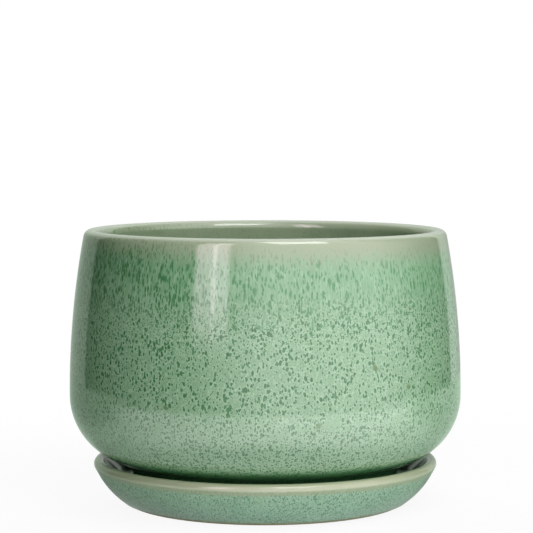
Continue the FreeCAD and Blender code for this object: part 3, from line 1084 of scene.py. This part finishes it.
def pot_rim(tree, layout):
    """How pale the glaze is near the rim, from 0 to 1."""
    ragged = sum_of(tree, "MULTIPLY_ADD", layout["strands"], RIM_RAGGED, -RIM_RAGGED / 2)
    edge = soft_step(tree, sum_of(tree, "ADD", layout["level"], ragged), *RIM_EDGE)
    return product_of(tree, edge, RIM_STRENGTH)


def pot_ground(tree, layout, speckled, strengths, rim):
    """The colour of the glaze between the marks."""
    # paler low on the belly, as painted light from the table
    ground = ramp(tree, layout["share"], [
        (0.2, GLAZE_LOW_PAINTED_LIGHT_SHADE), (0.42, GLAZE_SHADE), (0.7, GLAZE_SHADE), (0.85, GLAZE_HIGH_SHADE)])
    strand_strength = ramp(tree, layout["share"], [(0.66, 0.1), (0.8, 0.3)])
    tint = product_of(tree, soft_step(tree, layout["strands"], *STRAND_EDGE), strand_strength)
    tint = sum_of(tree, "MULTIPLY_ADD", soft_step(tree, layout["cloud"], *CLOUD_EDGE), CLOUD_STRENGTH, tint)
    upper_darkening = ramp(tree, layout["level share"], [(0.80, 0.0), (0.88, 0.3), (0.93, 0.35), (0.96, 0.0)])
    tint = sum_of(tree, "MULTIPLY_ADD", upper_darkening, layout["left"], tint)
    ground = blend_colours(tree, tint, ground, SPOT_SHADE)
    rings = [product_of(tree, speckled[kind]["Rings"], strengths[kind]) for kind in ("spots", "fine")]
    ground = blend_colours(tree, sum_of(tree, "MAXIMUM", *rings), ground, RING_SHADE)
    hairs = product_of(tree, soft_step(tree, layout["strands"], *HAIR_EDGE), strengths["streaks"])
    ground = blend_colours(tree, product_of(tree, hairs, HAIR_STRENGTH), ground, RING_SHADE)
    # painted shade of the gap between the belly and the saucer
    gap_shade = product_of(tree, soft_step(tree, layout["height"], *GAP_PAINTED_SHADE_EDGE), GAP_PAINTED_SHADE_STRENGTH)
    ground = blend_colours(tree, gap_shade, ground, GAP_PAINTED_SHADE)
    return blend_colours(tree, rim, ground, RIM_SHADE)


print("the pale band comes in between", RIM_EDGE, "mm")

# %% [markdown]
# ### The pot's glaze put together
# The marks are laid on the ground one kind after the other, from the finest to the few large blots.
# Each spot has its own tone between two greens. Streaks are darker on the left, and olive in the pale band.
# Last come the pale crest of the lip and the plain lining inside.

# %% Glaze for the pot
STREAK_SHADE = screen_colour(96, 157, 108)
SPOT_DARK_SHADE = screen_colour(65, 118, 75)
OLIVE_SHADE = screen_colour(116, 146, 96)
STREAK_DARK_LEFT = 0.7
CREST_SHADE = screen_colour(218, 224, 208)
CREST_EDGE = (142.6, 144.2)          # heights in mm
CREST_STRENGTH = 0.8
INSIDE_SHADE = screen_colour(164, 178, 152)
INSIDE_DARK_SHADE = screen_colour(153, 169, 142)
INSIDE_CLOUD_EDGE = (0.35, 0.7)
INSIDE_SPOT_STRENGTH = 0.25
LINING_EDGE = (143.0, 139.0)         # heights in mm over which the lining takes over inside the lip
POT_ROUGHNESS = 0.07


def pot_mark_shades(tree, layout, speckled, rim):
    """The colour of each kind of mark, in the order in which they are laid."""
    shades = {}
    for kind in ("fine", "spots"):
        shades[kind] = blend_colours(tree, speckled[kind]["Tone"], SPOT_SHADE, SPOT_DARK_SHADE)
    streak = blend_colours(tree, speckled["streaks"]["Tone"], STREAK_SHADE, SPOT_SHADE)
    streak = blend_colours(tree, product_of(tree, layout["left"], STREAK_DARK_LEFT), streak, SPOT_DARK_SHADE)
    shades["streaks"] = blend_colours(tree, rim, streak, OLIVE_SHADE)
    shades["runs"] = SPOT_SHADE
    shades["blots"] = OLIVE_SHADE
    return shades


def pot_lining(tree, layout, speckled):
    """The plain glaze inside, and where it lies."""
    clouds = soft_step(tree, layout["cloud"], *INSIDE_CLOUD_EDGE)
    lining = blend_colours(tree, clouds, INSIDE_SHADE, INSIDE_DARK_SHADE)
    faint = product_of(tree, speckled["fine"]["Spots"], INSIDE_SPOT_STRENGTH)
    lining = blend_colours(tree, faint, lining, SPOT_SHADE)
    inside = soft_step(tree, mark(tree, "inside"), *INSIDE_EDGE)
    return lining, product_of(tree, inside, soft_step(tree, layout["height"], *LINING_EDGE))


def build_pot_glaze():
    material, tree, shader = new_material("speckled_green_glaze")
    position = position_in_mm(tree)
    layout = pot_layout(tree, position)
    speckled, strengths = pot_marks(tree, position, layout)
    rim = pot_rim(tree, layout)
    colour = pot_ground(tree, layout, speckled, strengths, rim)
    for kind, shade in pot_mark_shades(tree, layout, speckled, rim).items():
        covered = product_of(tree, speckled[kind]["Spots"], strengths[kind])
        colour = blend_colours(tree, covered, colour, shade)
    crest = product_of(tree, soft_step(tree, layout["height"], *CREST_EDGE), CREST_STRENGTH)
    colour = blend_colours(tree, crest, colour, CREST_SHADE)
    lining, deep = pot_lining(tree, layout, speckled)
    colour = blend_colours(tree, deep, colour, lining)
    glaze_over_clay(tree, shader, position, colour, POT_ROUGHNESS)
    return material


pot_glaze = build_pot_glaze()
pot.data.materials.append(pot_glaze)
print("pot glaze nodes:", len(pot_glaze.node_tree.nodes))

# %% [markdown]
# ## The saucer's glaze
# The saucer wears the same glaze in a thicker, plainer coat, mottled with short streaks and fine spots.
# It is bluer low down and warmer higher up. At the lip it is thin and cream, with a duller line below.
# Inside, under the pot, it is painted dark as shade. Its bands lie at other heights than the pot's, so it is
# a material of its own.

# %% Glaze for the saucer
SAUCER_BLUE_SHADE = screen_colour(173, 214, 196)
SAUCER_SHADE = screen_colour(176, 218, 187)
SAUCER_WARM_SHADE = screen_colour(188, 220, 187)
SAUCER_PALE_SHADE = screen_colour(200, 228, 212)
SAUCER_DARK_SHADE = screen_colour(100, 156, 119)
# painted shade inside the saucer, under the pot
SAUCER_INSIDE_PAINTED_SHADE = screen_colour(50, 82, 60)
SAUCER_LIP_SHADE = screen_colour(208, 209, 181)
SAUCER_LINE_SHADE = screen_colour(194, 197, 162)
SAUCER_STRETCH = (1.0, 1.0, 0.45)
SAUCER_STRAND_SCALE = 0.8
SAUCER_STRAND_EDGE = (0.42, 0.74)
SAUCER_STRAND_STRENGTH = 0.7
SAUCER_CLOUD_SCALE = 0.05
SAUCER_CLOUD_EDGE = (0.35, 0.65)
SAUCER_CLOUD_STRENGTH = 0.35
SAUCER_RING_STRENGTH = 0.9
SAUCER_SPOT_STRENGTH = 0.85
# how strong the painted shade inside the saucer is
SAUCER_INSIDE_PAINTED_SHADE_STRENGTH = 0.8
SAUCER_WANDER_SCALE = 0.25
SAUCER_WANDER = 1.2                  # mm by which the edges at the lip wander up and down
SAUCER_LINE_EDGE = (-6.4, -4.6)      # mm from the top of the lip
SAUCER_LINE_STRENGTH = 0.75
SAUCER_LIP_EDGE = (-3.8, -2.8)       # mm from the top of the lip
SAUCER_ROUGHNESS = 0.10


def build_saucer_glaze():
    material, tree, shader = new_material("plain_green_glaze")
    position = position_in_mm(tree)
    height = add_node(tree, "ShaderNodeSeparateXYZ", {0: position}).outputs["Z"]
    lip_top = saucer_high[2] / MM
    ground = ramp(tree, sum_of(tree, "DIVIDE", height, lip_top), [
        (0.25, SAUCER_BLUE_SHADE), (0.58, SAUCER_SHADE), (0.74, SAUCER_WARM_SHADE)])

    strands = noise(tree, stretched(tree, position, STREAK_STRETCH), SAUCER_STRAND_SCALE, detail=3.0)
    cloud = noise(tree, position, SAUCER_CLOUD_SCALE)
    mottle = product_of(tree, soft_step(tree, cloud, *SAUCER_CLOUD_EDGE), SAUCER_CLOUD_STRENGTH)
    streaked = soft_step(tree, strands, *SAUCER_STRAND_EDGE)
    mottle = sum_of(tree, "MULTIPLY_ADD", streaked, SAUCER_STRAND_STRENGTH, mottle)
    colour = blend_colours(tree, mottle, ground, SAUCER_DARK_SHADE)
    fine = use_speckles(
        tree, stretched(tree, position, SAUCER_STRETCH), spacing=1.0, size=0.42, ragged=0.8, soft=0.3)
    rings = product_of(tree, fine["Rings"], SAUCER_RING_STRENGTH)
    colour = blend_colours(tree, rings, colour, SAUCER_PALE_SHADE)
    spots = product_of(tree, fine["Spots"], SAUCER_SPOT_STRENGTH)
    colour = blend_colours(tree, spots, colour, SAUCER_DARK_SHADE)

    wander = noise(tree, position, SAUCER_WANDER_SCALE)
    wander = sum_of(tree, "MULTIPLY_ADD", wander, SAUCER_WANDER, -SAUCER_WANDER / 2)
    from_top = sum_of(tree, "SUBTRACT", sum_of(tree, "ADD", height, wander), lip_top)
    line = product_of(tree, soft_step(tree, from_top, *SAUCER_LINE_EDGE), SAUCER_LINE_STRENGTH)
    colour = blend_colours(tree, line, colour, SAUCER_LINE_SHADE)
    # the inside, under the pot, is painted dark as shade
    painted_inside_shade = product_of(tree, soft_step(tree, mark(tree, "inside"), *INSIDE_EDGE), SAUCER_INSIDE_PAINTED_SHADE_STRENGTH)
    colour = blend_colours(tree, painted_inside_shade, colour, SAUCER_INSIDE_PAINTED_SHADE)
    colour = blend_colours(tree, soft_step(tree, from_top, *SAUCER_LIP_EDGE), colour, SAUCER_LIP_SHADE)
    glaze_over_clay(tree, shader, position, colour, SAUCER_ROUGHNESS)
    return material


saucer_glaze = build_saucer_glaze()
saucer.data.materials.append(saucer_glaze)
print("saucer glaze nodes:", len(saucer_glaze.node_tree.nodes))

# %% [markdown]
# ## Plastic and rubber
# The screen is moulded black plastic, and the pads are dark rubber. Both are plain.
# A fine uneven surface breaks up their dull shine, which a single flat colour would not.

# %% Plastic for the screen, rubber for the pads
PLAIN_CLOUD_SCALE = 0.15
PLAIN_BUMP_STRENGTH = 0.2
PLAIN_BUMP_DEPTH = 0.1 * MM


def build_plain(name, light, dark, grain_scale, low_roughness, high_roughness):
    """A dull plain material with a fine grain in its colour, its shine and its surface."""
    material, tree, shader = new_material(name)
    position = position_in_mm(tree)
    grain = noise(tree, position, grain_scale, detail=4.0)
    cloud = noise(tree, position, PLAIN_CLOUD_SCALE)
    colour = blend_colours(tree, cloud, light, dark)
    gloss = sum_of(tree, "MULTIPLY_ADD", grain, high_roughness - low_roughness, low_roughness)
    bump_inputs = {"Height": grain, "Strength": PLAIN_BUMP_STRENGTH, "Distance": PLAIN_BUMP_DEPTH}
    bump = add_node(tree, "ShaderNodeBump", bump_inputs).outputs["Normal"]
    for socket, value in (("Base Color", colour), ("Roughness", gloss), ("Normal", bump)):
        tree.links.new(value, shader.inputs[socket])
    print(name, "nodes:", len(tree.nodes))
    return material


screen_plastic = build_plain(
    "black_net_plastic", light=screen_colour(52, 54, 54), dark=screen_colour(38, 40, 40),
    grain_scale=3.0, low_roughness=0.4, high_roughness=0.6)
pad_rubber = build_plain(
    "dark_pad_rubber", light=screen_colour(70, 70, 68), dark=screen_colour(54, 54, 53),
    grain_scale=2.0, low_roughness=0.65, high_roughness=0.9)
screen.data.materials.append(screen_plastic)
for pad in pads.values():
    pad.data.materials.append(pad_rubber)

# %% [markdown]
# ## Hanging the pieces on the frame
# Each piece takes the place of its plain solid and moves with the same body.

# %% Ride and replace
def hang(piece, body, node):
    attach(piece, body)
    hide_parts(node)


hang(pot, "pot", "pot_body")
hang(saucer, "saucer", "saucer")
hang(screen, "screen", "drain_screen")
for node, pad in pads.items():
    hang(pad, "saucer", node)
